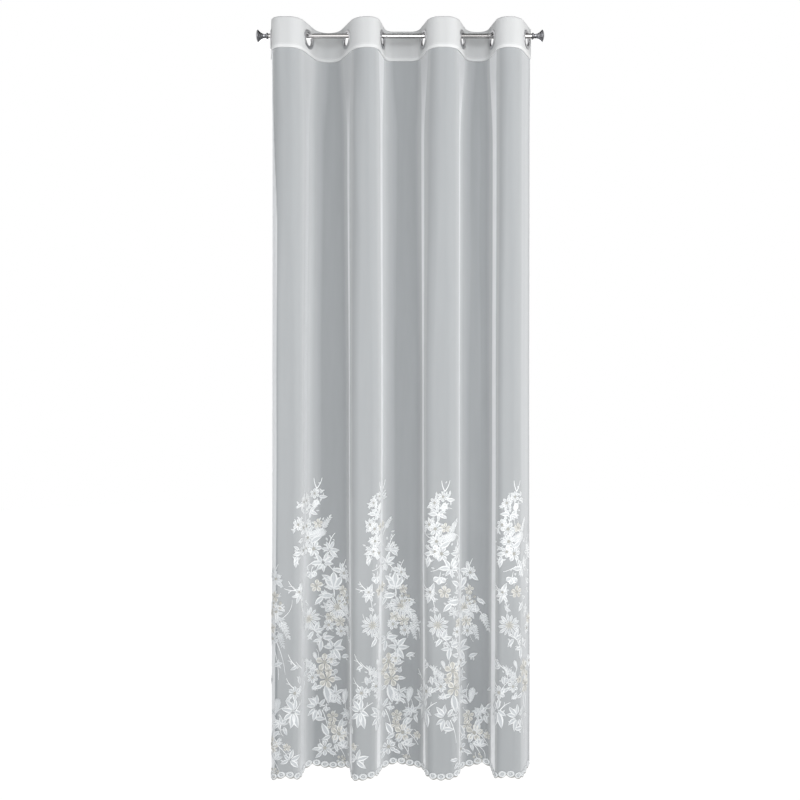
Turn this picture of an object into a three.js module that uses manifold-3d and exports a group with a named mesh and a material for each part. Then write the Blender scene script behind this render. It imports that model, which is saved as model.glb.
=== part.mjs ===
// Sheer voile curtain with an eyelet heading and a scalloped foot, on a short rod with flared finials.
// Millimetres, +Z up. The origin is the middle of the rod's axis. +X runs along the rod to the right of
// someone who stands in the room, and -Y points at them. The cloth hangs in upright folds that pass before
// and behind the rod.

import * as THREE from "three";
import { mergeVertices } from "three/addons/utils/BufferGeometryUtils.js";
import Module from "manifold-3d";

const wasm = await Module();
wasm.setup();

// Cloth
const FLAT_WIDTH = 1400;
const DROP = 2500; // from the heading's top edge to the lowest scallop
const HEADING_HEIGHT = 100;
const HEADING_THICKNESS = 2.4; // two turns of voile with a stiff tape between them
const VOILE_THICKNESS = 1.2; // a sheet's least thickness here: the voile itself is thinner
const SEAM_LAP = 12; // how far the voile runs up behind the heading
const SEAM_GAP = 0.35;
const FOLD_TAKE_UPS = [70, 66, 66, 66, 66, 66, 66]; // cloth that each fold holds beyond its own width
const END_CURL_RADIUS = 48; // the free edge past the last eyelet turns back to face the room
const SCALLOPS = 10;
const SCALLOP_RISE = 18;
const FACETS_PER_FOLD = 10; // between the flat stretches that hold two eyelets
const VOILE_ROWS = [112, 160, 220, 290, 380, 500, 660, 860, 1080, 1320, 1600, 1900, 2200]; // facet drops

// Eyelets
const EYELET_INNER_RADIUS = 20;
const EYELET_OUTER_RADIUS = 31;
const EYELET_BARREL_RADIUS = 22.4;
const EYELET_FLANGE = 4.4; // from the cloth's middle to the crown of a flange
const EYELET_RIM = 1.6; // from the cloth's middle to a flange's underside
const EYELET_LIP = { rise: 3, width: 3.2 }; // where a flange rolls into the bore
const EYELET_EDGE = { rise: 4, width: 2.6 }; // where a flange rolls down to its rim
const EYELET_HOLE_RADIUS = 23; // the cut in the heading
const PUNCH_LENGTH = 16;
const EYELET_SIDES = 24;
const HANGING_GAP = 0.6; // between the rod's top and the eyelets that hang on it

// Rod and finials, with lengths measured outwards from the rod's end
const ROD_RADIUS = 8;
const ROD_WALL = 1;
const ROD_HALF_LENGTH = 440;
const ROD_SIDES = 32;
const FINIAL_GAP = 0.35;
const FINIAL_SIDES = 24;
const SPIGOT_LENGTH = 22;
const COLLAR = { radius: 10.5, length: 5.5, edge: 1 };
const NECK = { radius: 6.8, from: 7.2, to: 11 };
const FLARE = { radius: 20, at: 33, power: 1.8, steps: 6 };
const DOME = { from: 34, tip: 41, steps: 4 };

// Heights along the drop where the folds are given, with how round their crests are and how long they stay
// straight on each side of the rod's plane.
const LEVELS = [
  { drop: HEADING_HEIGHT, roundness: 1, straight: EYELET_OUTER_RADIUS },
  { drop: 400, roundness: 0.85, straight: 12 },
  { drop: 1300, roundness: 0.62, straight: 4 },
  { drop: DROP, roundness: 0.52, straight: 4 },
];

// One row for each eyelet, from left to right, with a value for each level. x is where the cloth crosses the
// rod's plane, and lean is its angle to that plane in degrees: over 90 the fold closes behind itself.
const FLANKS = [
  { x: [-429, -425, -422, -422], lean: [80, 90, 95, 96] },
  { x: [-306, -307, -312, -322], lean: [66, 82, 85, 84] },
  { x: [-177, -175, -171, -167], lean: [62, 76, 85, 84] },
  { x: [-60, -60, -58, -67], lean: [77, 84, 86, 82] },
  { x: [80, 74, 75, 79], lean: [71, 78, 90, 84] },
  { x: [208, 201, 200, 201], lean: [68, 82, 84, 84] },
  { x: [309, 312, 310, 307], lean: [76, 82, 85, 84] },
  { x: [422, 421, 420, 420], lean: [63, 64, 64, 62] },
];

const EYELET_Z = ROD_RADIUS + HANGING_GAP - EYELET_INNER_RADIUS;
const TOP_Z = EYELET_Z + HEADING_HEIGHT / 2;

// Distances along the flat heading from each eyelet to the next, and the eyelets' own places on it.
const PITCHES = FLANKS.slice(1).map((flank, i) => flank.x[0] - FLANKS[i].x[0] + FOLD_TAKE_UPS[i]);
const SIDE_MARGIN = (FLAT_WIDTH - PITCHES.reduce((sum, pitch) => sum + pitch, 0)) / 2;
const EYELETS_ALONG = PITCHES.reduce((along, pitch) => [...along, along.at(-1) + pitch], [SIDE_MARGIN]);

const HALVINGS = 50; // until a fold's depth is exact

const { lerp, smoothstep, degToRad } = THREE.MathUtils;

// Which side of the rod the cloth passes between eyelet i and the next: -1 before it, +1 behind it.
const sideOf = (i) => (i % 2 === 0 ? -1 : 1);

// The folds' measures at a height, eased between the two levels around it.
function foldsAt(drop) {
  const i = Math.max(0, LEVELS.findLastIndex((level) => level.drop <= drop));
  const j = Math.min(i + 1, LEVELS.length - 1);
  const share = i === j ? 0 : smoothstep(drop, LEVELS[i].drop, LEVELS[j].drop);
  return {
    roundness: lerp(LEVELS[i].roundness, LEVELS[j].roundness, share),
    straight: lerp(LEVELS[i].straight, LEVELS[j].straight, share),
    x: FLANKS.map((flank) => lerp(flank.x[i], flank.x[j], share)),
    lean: FLANKS.map((flank) => degToRad(lerp(flank.lean[i], flank.lean[j], share))),
  };
}

// One fold between two flanks: its crest at that depth, with a rounded corner at each end of it.
function foldOf(depth, width, leans, folds) {
  const crest = width - depth / Math.tan(leans[0]) - depth / Math.tan(leans[1]);
  const corners = leans.map((lean) => {
    const flank = depth / Math.sin(lean);
    const tangent = Math.min((folds.roundness * crest) / 2, flank - folds.straight);
    return { lean, straight: flank - tangent, tangent, radius: tangent / Math.tan(lean / 2) };
  });
  const flat = crest - corners[0].tangent - corners[1].tangent;
  const length = corners.reduce((sum, c) => sum + c.straight + c.radius * c.lean, flat);
  return { corners, flat, length };
}

// The fold whose cloth is exactly as long as the stretch between its two eyelets.
function fittedFold(width, pitch, leans, folds) {
  let [shallow, deep] = [folds.straight, 2 * Math.max(...FOLD_TAKE_UPS)];
  for (let i = 0; i < HALVINGS; i++) {
    const depth = (shallow + deep) / 2;
    if (foldOf(depth, width, leans, folds).length < pitch) shallow = depth;
    else deep = depth;
  }
  return foldOf(shallow, width, leans, folds);
}

// The cloth's section at a height as lines and arcs, each with its length and its curvature.
function sectionAt(drop) {
  const folds = foldsAt(drop);
  const heading = -folds.lean[0];
  const start = new THREE.Vector2(folds.x[0], 0).addScaledVector(
    new THREE.Vector2(Math.cos(heading), Math.sin(heading)),
    -SIDE_MARGIN,
  );
  const strokes = [{ length: SIDE_MARGIN, curvature: 0 }];
  PITCHES.forEach((pitch, i) => {
    const leans = [folds.lean[i], folds.lean[i + 1]];
    const { corners, flat } = fittedFold(folds.x[i + 1] - folds.x[i], pitch, leans, folds);
    const turn = -sideOf(i);
    const arcs = corners.map((c) => ({ length: c.radius * c.lean, curvature: turn / c.radius }));
    strokes.push({ length: corners[0].straight, curvature: 0 }, arcs[0]);
    strokes.push({ length: flat, curvature: 0 }, arcs[1]);
    strokes.push({ length: corners[1].straight, curvature: 0 });
  });
  strokes.push({ length: EYELET_OUTER_RADIUS, curvature: 0 });
  strokes.push({ length: SIDE_MARGIN - EYELET_OUTER_RADIUS, curvature: -1 / END_CURL_RADIUS });
  return { start, heading, strokes };
}

// The place and the room-side normal of the cloth's middle at distances along it, which rise.
function pointsAlong({ start, heading, strokes }, distances) {
  const points = [];
  let [x, y, angle, from] = [start.x, start.y, heading, 0];
  for (const [i, { length, curvature }] of strokes.entries()) {
    const at = (step) => {
      const end = angle + curvature * step;
      if (curvature === 0) return { x: x + step * Math.cos(angle), y: y + step * Math.sin(angle), end };
      const dx = (Math.sin(end) - Math.sin(angle)) / curvature;
      const dy = (Math.cos(angle) - Math.cos(end)) / curvature;
      return { x: x + dx, y: y + dy, end };
    };
    const isLast = i === strokes.length - 1;
    while (points.length < distances.length && (isLast || distances[points.length] <= from + length)) {
      const p = at(distances[points.length] - from);
      points.push({ x: p.x, y: p.y, normal: new THREE.Vector2(Math.sin(p.end), -Math.cos(p.end)) });
    }
    const stop = at(length);
    [x, y, angle, from] = [stop.x, stop.y, stop.end, from + length];
  }
  return points;
}

// Distances along the cloth for the upright edges of its facets: the stretch in each eyelet stays flat.
function facetColumns() {
  const columns = [0, SIDE_MARGIN / 2];
  PITCHES.forEach((pitch, i) => {
    const first = EYELETS_ALONG[i] + EYELET_OUTER_RADIUS;
    const span = pitch - 2 * EYELET_OUTER_RADIUS;
    columns.push(EYELETS_ALONG[i]);
    for (let k = 0; k <= FACETS_PER_FOLD; k++) columns.push(first + (span * k) / FACETS_PER_FOLD);
  });
  const last = EYELETS_ALONG.at(-1);
  columns.push(last, last + EYELET_OUTER_RADIUS, FLAT_WIDTH);
  return columns;
}

// How far down the cloth reaches at a distance along it.
function hemDrop(along) {
  return DROP - SCALLOP_RISE * (1 - Math.abs(Math.sin((Math.PI * SCALLOPS * along) / FLAT_WIDTH)));
}

// A closed sheet between two offsets from the cloth's middle. Each row gives a drop for every column.
function sheetGeometry(columns, rows, inner, outer) {
  const positions = [];
  for (const offset of [outer, inner]) {
    for (const dropOf of rows) {
      // A level row needs one section, and the scalloped edge keeps the section of its own lowest point.
      const section = pointsAlong(sectionAt(Math.max(...columns.map(dropOf))), columns);
      section.forEach(({ x, y, normal }, i) => {
        positions.push(x + offset * normal.x, y + offset * normal.y, TOP_Z - dropOf(columns[i]));
      });
    }
  }
  const [across, down] = [columns.length, rows.length];
  const vertex = (layer, row, column) => (layer * down + row) * across + column;
  const faces = [];
  const quad = (a, b, c, d) => faces.push(a, b, c, a, c, d);
  for (let r = 0; r < down - 1; r++) {
    for (let c = 0; c < across - 1; c++) {
      quad(vertex(0, r, c), vertex(0, r + 1, c), vertex(0, r + 1, c + 1), vertex(0, r, c + 1));
      quad(vertex(1, r, c), vertex(1, r, c + 1), vertex(1, r + 1, c + 1), vertex(1, r + 1, c));
    }
    quad(vertex(1, r, 0), vertex(1, r + 1, 0), vertex(0, r + 1, 0), vertex(0, r, 0));
    const end = across - 1;
    quad(vertex(0, r, end), vertex(0, r + 1, end), vertex(1, r + 1, end), vertex(1, r, end));
  }
  for (let c = 0; c < across - 1; c++) {
    const foot = down - 1;
    quad(vertex(1, 0, c), vertex(0, 0, c), vertex(0, 0, c + 1), vertex(1, 0, c + 1));
    quad(vertex(0, foot, c), vertex(1, foot, c), vertex(1, foot, c + 1), vertex(0, foot, c + 1));
  }
  const geometry = new THREE.BufferGeometry();
  geometry.setAttribute("position", new THREE.Float32BufferAttribute(positions, 3));
  geometry.setIndex(faces);
  return geometry;
}

// A geometry as a manifold solid, and back.
function solidFrom(geometry) {
  const bare = geometry.clone();
  bare.deleteAttribute("normal");
  bare.deleteAttribute("uv");
  const merged = mergeVertices(bare, 1e-3);
  const vertProperties = merged.attributes.position.array;
  const triVerts = new Uint32Array(merged.index.array);
  return new wasm.Manifold(new wasm.Mesh({ numProp: 3, vertProperties, triVerts }));
}

function geometryFrom(solid) {
  const { vertProperties, triVerts } = solid.getMesh();
  const geometry = new THREE.BufferGeometry();
  geometry.setAttribute("position", new THREE.Float32BufferAttribute(vertProperties, 3));
  geometry.setIndex(new THREE.BufferAttribute(triVerts, 1));
  geometry.computeVertexNormals();
  return geometry;
}

// Each eyelet's middle, and the direction of its axis towards the room.
function eyeletPlaces() {
  const section = pointsAlong(sectionAt(0), EYELETS_ALONG);
  return section.map(({ x, y, normal }) => ({
    centre: new THREE.Vector3(x, y, EYELET_Z),
    axis: new THREE.Vector3(normal.x, normal.y, 0),
  }));
}

// Turns a shape whose axis is +Y so that it points along the axis of an eyelet.
function placeOn(object, { centre, axis }) {
  object.position.copy(centre);
  object.quaternion.setFromUnitVectors(new THREE.Vector3(0, 1, 0), axis);
  return object;
}

// The heading: a stiffened band with a round hole for each eyelet.
function headingBand(columns) {
  const half = HEADING_THICKNESS / 2;
  let band = solidFrom(sheetGeometry(columns, [() => 0, () => HEADING_HEIGHT], -half, half));
  for (const place of eyeletPlaces()) {
    const radius = EYELET_HOLE_RADIUS;
    const punch = new THREE.CylinderGeometry(radius, radius, PUNCH_LENGTH, EYELET_SIDES);
    const cutter = placeOn(new THREE.Object3D(), place);
    cutter.updateMatrix();
    band = band.subtract(solidFrom(punch.applyMatrix4(cutter.matrix)));
  }
  return new THREE.Mesh(geometryFrom(band), cloth(0xf2f4f7, 0.75));
}

// The voile: one sheet from behind the heading's foot to its scalloped edge.
function voilePanel(columns) {
  const levels = [HEADING_HEIGHT - SEAM_LAP, ...VOILE_ROWS, DROP - 2 * SCALLOP_RISE];
  const rows = [...levels.map((drop) => () => drop), hemDrop];
  const face = -(HEADING_THICKNESS / 2 + SEAM_GAP);
  const geometry = sheetGeometry(columns, rows, face - VOILE_THICKNESS, face);
  geometry.computeVertexNormals();
  return new THREE.Mesh(geometry, cloth(0xc9ccd0, 0.85));
}

// One eyelet: two domed flanges on a barrel, snapped together through the heading.
function eyelet(place) {
  const flange = (side) => [
    [EYELET_INNER_RADIUS, side * EYELET_LIP.rise],
    [EYELET_INNER_RADIUS + EYELET_LIP.width, side * EYELET_FLANGE],
    [EYELET_OUTER_RADIUS - EYELET_EDGE.width, side * EYELET_EDGE.rise],
    [EYELET_OUTER_RADIUS, side * EYELET_RIM],
    [EYELET_BARREL_RADIUS, side * EYELET_RIM],
  ];
  const back = flange(-1);
  const outline = [...back, ...flange(1).reverse(), back[0]];
  const geometry = new THREE.LatheGeometry(outline.map(([r, a]) => new THREE.Vector2(r, a)), EYELET_SIDES);
  return placeOn(new THREE.Mesh(geometry, metal(0x9a9c9f, 0.28)), place);
}

// The rod is a tube, so that the finials' spigots fit into its ends.
function rod() {
  const [outer, inner, end] = [ROD_RADIUS, ROD_RADIUS - ROD_WALL, ROD_HALF_LENGTH];
  const outline = [[inner, -end], [outer, -end], [outer, end], [inner, end], [inner, -end]];
  const geometry = new THREE.LatheGeometry(outline.map(([r, a]) => new THREE.Vector2(r, a)), ROD_SIDES);
  const mesh = new THREE.Mesh(geometry, metal(0xa6a4a2, 0.3));
  mesh.rotation.z = -Math.PI / 2;
  return mesh;
}

// A finial: spigot, bead collar, a slim neck that flares like a bell, and a shallow domed face.
function finial(side) {
  const spigot = ROD_RADIUS - ROD_WALL - FINIAL_GAP;
  const outline = [[0, -SPIGOT_LENGTH], [spigot, -SPIGOT_LENGTH], [spigot, FINIAL_GAP]];
  outline.push([COLLAR.radius - COLLAR.edge, FINIAL_GAP], [COLLAR.radius, COLLAR.length / 2]);
  outline.push([COLLAR.radius - COLLAR.edge, COLLAR.length], [NECK.radius, NECK.from]);
  for (let i = 0; i <= FLARE.steps; i++) {
    const share = i / FLARE.steps;
    const radius = lerp(NECK.radius, FLARE.radius, share ** FLARE.power);
    outline.push([radius, lerp(NECK.to, FLARE.at, share)]);
  }
  for (let i = 0; i < DOME.steps; i++) {
    const turn = ((i / DOME.steps) * Math.PI) / 2;
    outline.push([FLARE.radius * Math.cos(turn), lerp(DOME.from, DOME.tip, Math.sin(turn))]);
  }
  outline.push([0, DOME.tip]);
  const geometry = new THREE.LatheGeometry(outline.map(([r, a]) => new THREE.Vector2(r, a)), FINIAL_SIDES);
  const mesh = new THREE.Mesh(geometry, metal(0x8e8f91, 0.18));
  mesh.rotation.z = (-side * Math.PI) / 2;
  mesh.position.x = side * ROD_HALF_LENGTH;
  return mesh;
}

function cloth(color, roughness) {
  return new THREE.MeshStandardMaterial({ color, roughness, metalness: 0 });
}

function metal(color, roughness) {
  return new THREE.MeshStandardMaterial({ color, roughness, metalness: 1 });
}

function named(mesh, name) {
  mesh.name = name;
  return mesh;
}

const curtain = new THREE.Group();
const columns = facetColumns();
curtain.add(named(voilePanel(columns), "voile_panel"));
curtain.add(named(headingBand(columns), "heading_band"));
eyeletPlaces().forEach((place, i) => curtain.add(named(eyelet(place), `eyelet_${i + 1}`)));
curtain.add(named(rod(), "rod"));
curtain.add(named(finial(-1), "finial_left"));
curtain.add(named(finial(1), "finial_right"));

export default curtain;
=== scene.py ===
# Looks of a sheer voile curtain on a short rod. Blender works in metres. The cloth's own measures are in
# millimetres: "along" runs across the flat cloth from its left edge, and "drop" runs down from its top edge.

import math
import random

import bpy
import numpy as np
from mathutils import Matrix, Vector
from mathutils.geometry import delaunay_2d_cdt


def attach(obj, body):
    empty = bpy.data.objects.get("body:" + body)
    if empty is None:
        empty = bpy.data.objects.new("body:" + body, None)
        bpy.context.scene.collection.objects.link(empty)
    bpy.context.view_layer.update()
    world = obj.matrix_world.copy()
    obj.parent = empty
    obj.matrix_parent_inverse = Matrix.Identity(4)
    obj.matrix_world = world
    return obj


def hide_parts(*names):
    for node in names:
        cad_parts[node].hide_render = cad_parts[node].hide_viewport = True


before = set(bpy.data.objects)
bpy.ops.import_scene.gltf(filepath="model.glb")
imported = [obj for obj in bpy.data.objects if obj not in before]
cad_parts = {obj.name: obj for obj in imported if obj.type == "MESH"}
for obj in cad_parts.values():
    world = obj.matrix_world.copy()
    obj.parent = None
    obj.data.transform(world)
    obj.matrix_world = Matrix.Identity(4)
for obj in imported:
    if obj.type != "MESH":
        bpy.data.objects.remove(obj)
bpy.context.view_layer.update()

MM = 0.001

# Cloth, as it was cut
FLAT_WIDTH = 1400.0
DROP = 2500.0
HEADING_HEIGHT = 100.0
HEADING_THICKNESS = 2.4
SEAM_LAP = 12.0
SEAM_DROP = HEADING_HEIGHT - SEAM_LAP
FOLD_TAKE_UPS = (70.0, 66.0, 66.0, 66.0, 66.0, 66.0, 66.0)
END_CURL_RADIUS = 48.0
SCALLOPS = 10
SCALLOP_RISE = 18.0
LOBES_PER_SCALLOP = 5
LOBE_RISE = 5.5
SIDE_HEM = 16.0

# Metalwork
EYELET_BORE = 20.0
EYELET_RADIUS = 31.0
EYELET_HOLE = 23.0
EYELET_DROP = 50.0
HANGING_GAP = 0.6
ROD_RADIUS = 8.0
ROD_END = 440.0
TOP_Z = ROD_RADIUS + HANGING_GAP - EYELET_BORE + EYELET_DROP

# The folds. Each level gives its drop, how round the crests are there and how long the cloth stays straight
# beside the rod's plane. Each flank has a place across and a lean in degrees for every level.
LEVELS = (
    {"drop": 100, "roundness": 1.0, "straight": 31},
    {"drop": 400, "roundness": 0.85, "straight": 12},
    {"drop": 1300, "roundness": 0.62, "straight": 4},
    {"drop": 2500, "roundness": 0.52, "straight": 4},
)
FLANKS = (
    {"x": (-429, -425, -422, -422), "lean": (80, 90, 95, 96)},
    {"x": (-306, -307, -312, -322), "lean": (66, 82, 85, 84)},
    {"x": (-177, -175, -171, -167), "lean": (62, 76, 85, 84)},
    {"x": (-60, -60, -58, -67), "lean": (77, 84, 86, 82)},
    {"x": (80, 74, 75, 79), "lean": (71, 78, 90, 84)},
    {"x": (208, 201, 200, 201), "lean": (68, 82, 84, 84)},
    {"x": (309, 312, 310, 307), "lean": (76, 82, 85, 84)},
    {"x": (422, 421, 420, 420), "lean": (63, 64, 64, 62)},
)
PITCHES = [b["x"][0] - a["x"][0] + take_up for a, b, take_up in zip(FLANKS, FLANKS[1:], FOLD_TAKE_UPS)]
SIDE_MARGIN = (FLAT_WIDTH - sum(PITCHES)) / 2
EYELETS_ALONG = [SIDE_MARGIN + sum(PITCHES[:i]) for i in range(len(FLANKS))]

# Soft troughs and ridges in the cloth: where along, over which drops, how far they lean sideways on the way
# down, how wide they are and how far they stand out.
CREASE_COLUMNS = ("along", "drops", "lean", "width", "height")
CREASE_ROWS = (
    (96, (150, 1500), 10, 16, 1.6),
    (158, (500, 2300), -14, 22, -1.8),
    (300, (110, 1250), -12, 18, -1.8),
    (352, (300, 2200), 16, 22, 1.7),
    (478, (110, 700), 20, 15, 1.9),
    (545, (700, 2420), -18, 24, -2.0),
    (672, (110, 1500), 14, 20, -1.6),
    (742, (250, 2300), 24, 26, 2.2),
    (868, (300, 2450), -16, 18, 2.2),
    (930, (110, 1200), 10, 22, -1.7),
    (1068, (400, 2300), 12, 20, 1.6),
    (1130, (110, 1500), -10, 18, -1.6),
    (1240, (300, 2100), 16, 20, 1.5),
    (1312, (900, 2450), -20, 22, -2.0),
)
CREASES = [dict(zip(CREASE_COLUMNS, row)) for row in CREASE_ROWS]


def ramp(value, start, end):
    """0 up to the start and 1 from the end on, rising smoothly between. The end may lie before the start."""
    share = np.clip((value - start) / (end - start), 0.0, 1.0)
    return share * share * (3 - 2 * share)


def lerp(a, b, share):
    return a + (b - a) * share


# Section of the hanging cloth

HALVINGS = 40


def folds_at(drop):
    """The folds' measures at a drop, eased between the two levels around it."""
    i = max((k for k, level in enumerate(LEVELS) if level["drop"] <= drop), default=0)
    j = min(i + 1, len(LEVELS) - 1)
    low, high = LEVELS[i], LEVELS[j]
    share = 0.0 if i == j else float(ramp(drop, low["drop"], high["drop"]))
    return {
        "roundness": lerp(low["roundness"], high["roundness"], share),
        "straight": lerp(low["straight"], high["straight"], share),
        "x": [lerp(f["x"][i], f["x"][j], share) for f in FLANKS],
        "lean": [math.radians(lerp(f["lean"][i], f["lean"][j], share)) for f in FLANKS],
    }


def fold_of(depth, width, leans, folds):
    """One fold between two flanks at a depth: its corners, its flat crest and the cloth that it takes."""
    crest = width - depth / math.tan(leans[0]) - depth / math.tan(leans[1])
    corners = []
    for lean in leans:
        flank = depth / math.sin(lean)
        tangent = min(folds["roundness"] * crest / 2, flank - folds["straight"])
        corners.append({"lean": lean, "straight": flank - tangent, "tangent": tangent,
                        "radius": tangent / math.tan(lean / 2)})
    flat = crest - corners[0]["tangent"] - corners[1]["tangent"]
    return corners, flat, flat + sum(c["straight"] + c["radius"] * c["lean"] for c in corners)


def fitted_fold(width, pitch, leans, folds):
    """The fold whose cloth is exactly as long as the stretch between its two eyelets."""
    shallow, deep = folds["straight"], 2 * max(FOLD_TAKE_UPS)
    for _ in range(HALVINGS):
        depth = (shallow + deep) / 2
        if fold_of(depth, width, leans, folds)[2] < pitch:
            shallow = depth
        else:
            deep = depth
    return fold_of(shallow, width, leans, folds)


def section_at(drop):
    """The cloth's section at a drop: its start, its first angle, and strokes of a length and a curvature."""
    folds = folds_at(drop)
    angle = -folds["lean"][0]
    strokes = [(SIDE_MARGIN, 0.0)]
    for i, pitch in enumerate(PITCHES):
        leans = folds["lean"][i:i + 2]
        corners, flat, _ = fitted_fold(folds["x"][i + 1] - folds["x"][i], pitch, leans, folds)
        turn = 1 if i % 2 == 0 else -1
        arcs = [(c["radius"] * c["lean"], turn / c["radius"]) for c in corners]
        first, last = [(c["straight"], 0.0) for c in corners]
        strokes += [first, arcs[0], (flat, 0.0), arcs[1], last]
    strokes += [(EYELET_RADIUS, 0.0), (SIDE_MARGIN - EYELET_RADIUS, -1 / END_CURL_RADIUS)]
    start = (folds["x"][0] - SIDE_MARGIN * math.cos(angle), -SIDE_MARGIN * math.sin(angle))
    return start, angle, strokes


def section_points(section, along):
    """Places of the cloth's middle in plan at distances along it."""
    (x, y), angle, strokes = section
    places = np.empty((len(along), 2))
    begin = 0.0
    for i, (length, curvature) in enumerate(strokes):
        here = (along >= begin) & ((along <= begin + length) | (i == len(strokes) - 1))
        steps = np.append(along[here] - begin, length)
        if curvature == 0:
            px, py = x + steps * math.cos(angle), y + steps * math.sin(angle)
        else:
            ends = angle + curvature * steps
            px = x + (np.sin(ends) - math.sin(angle)) / curvature
            py = y + (math.cos(angle) - np.cos(ends)) / curvature
            angle = float(ends[-1])
        places[here] = np.stack([px[:-1], py[:-1]], 1)
        x, y, begin = float(px[-1]), float(py[-1]), begin + length
    return places


# The whole hanging cloth as a chart of places, read by along and drop

GRID_ALONG = 2.0
GRID_DROP = 10.0
# The last row and column that still have a next one end this far before the chart's count
CHART_END = 1.001

CREASE_FADE = 0.25
RIPPLE_HEIGHT = 1.3
RIPPLE_DROPS = (2150, 2450)


def crease_height(along, drop):
    """How far the troughs and ridges, and small ripples near the foot, move the cloth out of its folds."""
    height = np.zeros(np.broadcast(along, drop).shape)
    for crease in CREASES:
        top, foot = crease["drops"]
        way = (drop - top) / (foot - top)
        fade = ramp(way, 0, CREASE_FADE) * ramp(way, 1, 1 - CREASE_FADE)
        middle = crease["along"] + crease["lean"] * way
        height += crease["height"] * fade * np.exp(-(((along - middle) / crease["width"]) ** 2))
    ripples = np.sin(along / 23.0 + 1.3 * np.sin(along / 71.0)) * np.sin(drop / 160.0 + along / 260.0)
    return height + RIPPLE_HEIGHT * ramp(drop, *RIPPLE_DROPS) * ripples


def normals_of(places):
    """Normals towards the room on a net of places."""
    normals = np.cross(np.gradient(places, axis=0), np.gradient(places, axis=1))
    return normals / np.linalg.norm(normals, axis=2, keepdims=True)


def hanging_chart():
    """Places and normals of the cloth's middle on a regular net of along and drop."""
    along = np.arange(0, FLAT_WIDTH + 1, GRID_ALONG)
    drops = np.arange(0, DROP + 1, GRID_DROP)
    plan = np.array([section_points(section_at(drop), along) for drop in drops])
    heights = np.broadcast_to((TOP_Z - drops)[:, None, None], plan.shape[:2] + (1,))
    places = np.concatenate([plan, heights], 2)
    places += normals_of(places) * crease_height(along[None, :], drops[:, None])[..., None]
    return places, normals_of(places)


CHART_PLACES, CHART_NORMALS = hanging_chart()
EYELET_ROW = round(EYELET_DROP / GRID_DROP)


def on_cloth(along, drop, lift):
    """Places at a lift off the cloth's middle towards the room, in metres."""
    rows, columns = CHART_PLACES.shape[:2]
    a = np.clip(np.asarray(along, float) / GRID_ALONG, 0, columns - CHART_END)
    d = np.clip(np.asarray(drop, float) / GRID_DROP, 0, rows - CHART_END)
    i, j = d.astype(int), a.astype(int)
    u, v = (a - j)[..., None], (d - i)[..., None]

    def read(chart):
        top = chart[i, j] * (1 - u) + chart[i, j + 1] * u
        foot = chart[i + 1, j] * (1 - u) + chart[i + 1, j + 1] * u
        return top * (1 - v) + foot * v

    normals = read(CHART_NORMALS)
    normals /= np.linalg.norm(normals, axis=-1, keepdims=True)
    return (read(CHART_PLACES) + normals * np.asarray(lift, float)[..., None]) * MM


def hem_drop(along):
    """How far down the cut edge reaches: wide scallops made of small round lobes."""
    wave = np.abs(np.sin(np.pi * SCALLOPS * along / FLAT_WIDTH))
    lobe = np.abs(np.sin(np.pi * SCALLOPS * LOBES_PER_SCALLOP * along / FLAT_WIDTH))
    return DROP - (SCALLOP_RISE - LOBE_RISE) * (1 - wave) - LOBE_RISE * (1 - lobe)


# Mesh helpers

def net_faces(rows, columns, closed=False):
    """Quads of a net of rows and columns. A closed net joins its last column to its first."""
    r, c = np.meshgrid(np.arange(rows - 1), np.arange(columns if closed else columns - 1), indexing="ij")
    here, below, beside = r * columns, (r + 1) * columns, (c + 1) % columns
    return np.stack([here + c, below + c, below + beside, here + beside], -1).reshape(-1, 4)


def make_piece(name, vertices, faces, material, uv=None, tone=None):
    """A mesh object that rides on the one body, with its flat-cloth place and its tone kept on the mesh."""
    mesh = bpy.data.meshes.new(name)
    mesh.from_pydata([tuple(v) for v in vertices], [], [tuple(int(i) for i in f) for f in faces])
    if uv is not None:
        layer = mesh.uv_layers.new(name="flat")
        loops = np.empty(len(mesh.loops), dtype=np.int32)
        mesh.loops.foreach_get("vertex_index", loops)
        layer.data.foreach_set("uv", np.asarray(uv, dtype=np.float32)[loops].ravel())
    if tone is not None:
        attribute = mesh.attributes.new("tone", "FLOAT", "POINT")
        attribute.data.foreach_set("value", np.asarray(tone, dtype=np.float32))
    mesh.polygons.foreach_set("use_smooth", [True] * len(mesh.polygons))
    mesh.materials.append(material)
    piece = bpy.data.objects.new(name, mesh)
    bpy.context.scene.collection.objects.link(piece)
    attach(piece, "root")
    return piece


# Materials

# Blender's wave texture repeats after this distance
WAVE_PERIOD = math.tau / 20
# The cloth's grain is drawn out along its drop, and a metal's streaks vary its roughness
GRAIN_STRETCH = 0.12
SMOOTHEST = 0.75
ROUGHEST = 1.3


def new_material(name):
    material = bpy.data.materials.new(name)
    material.use_nodes = True
    tree = material.node_tree
    return material, tree, tree.nodes["Principled BSDF"]


def set_inputs(tree, node, values):
    """Gives a node's sockets their own values, or links them to other nodes' outputs."""
    for socket, value in values.items():
        if isinstance(value, bpy.types.NodeSocket):
            tree.links.new(value, node.inputs[socket])
        else:
            node.inputs[socket].default_value = value


def add_node(tree, kind, inputs=None, **settings):
    """A shader node with its settings and its inputs."""
    node = tree.nodes.new("ShaderNode" + kind)
    for name, value in settings.items():
        setattr(node, name, value)
    set_inputs(tree, node, inputs or {})
    return node


def linear(*colour):
    """An sRGB colour from 0 to 255 as Blender's linear colour."""
    return (*(c / 255 / 12.92 if c <= 10 else ((c / 255 + 0.055) / 1.055) ** 2.4 for c in colour), 1.0)


def flat_coordinates(tree, scale):
    uv = add_node(tree, "UVMap", uv_map="flat")
    return add_node(tree, "Mapping", {"Vector": uv.outputs["UV"], "Scale": scale}).outputs["Vector"]


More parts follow.
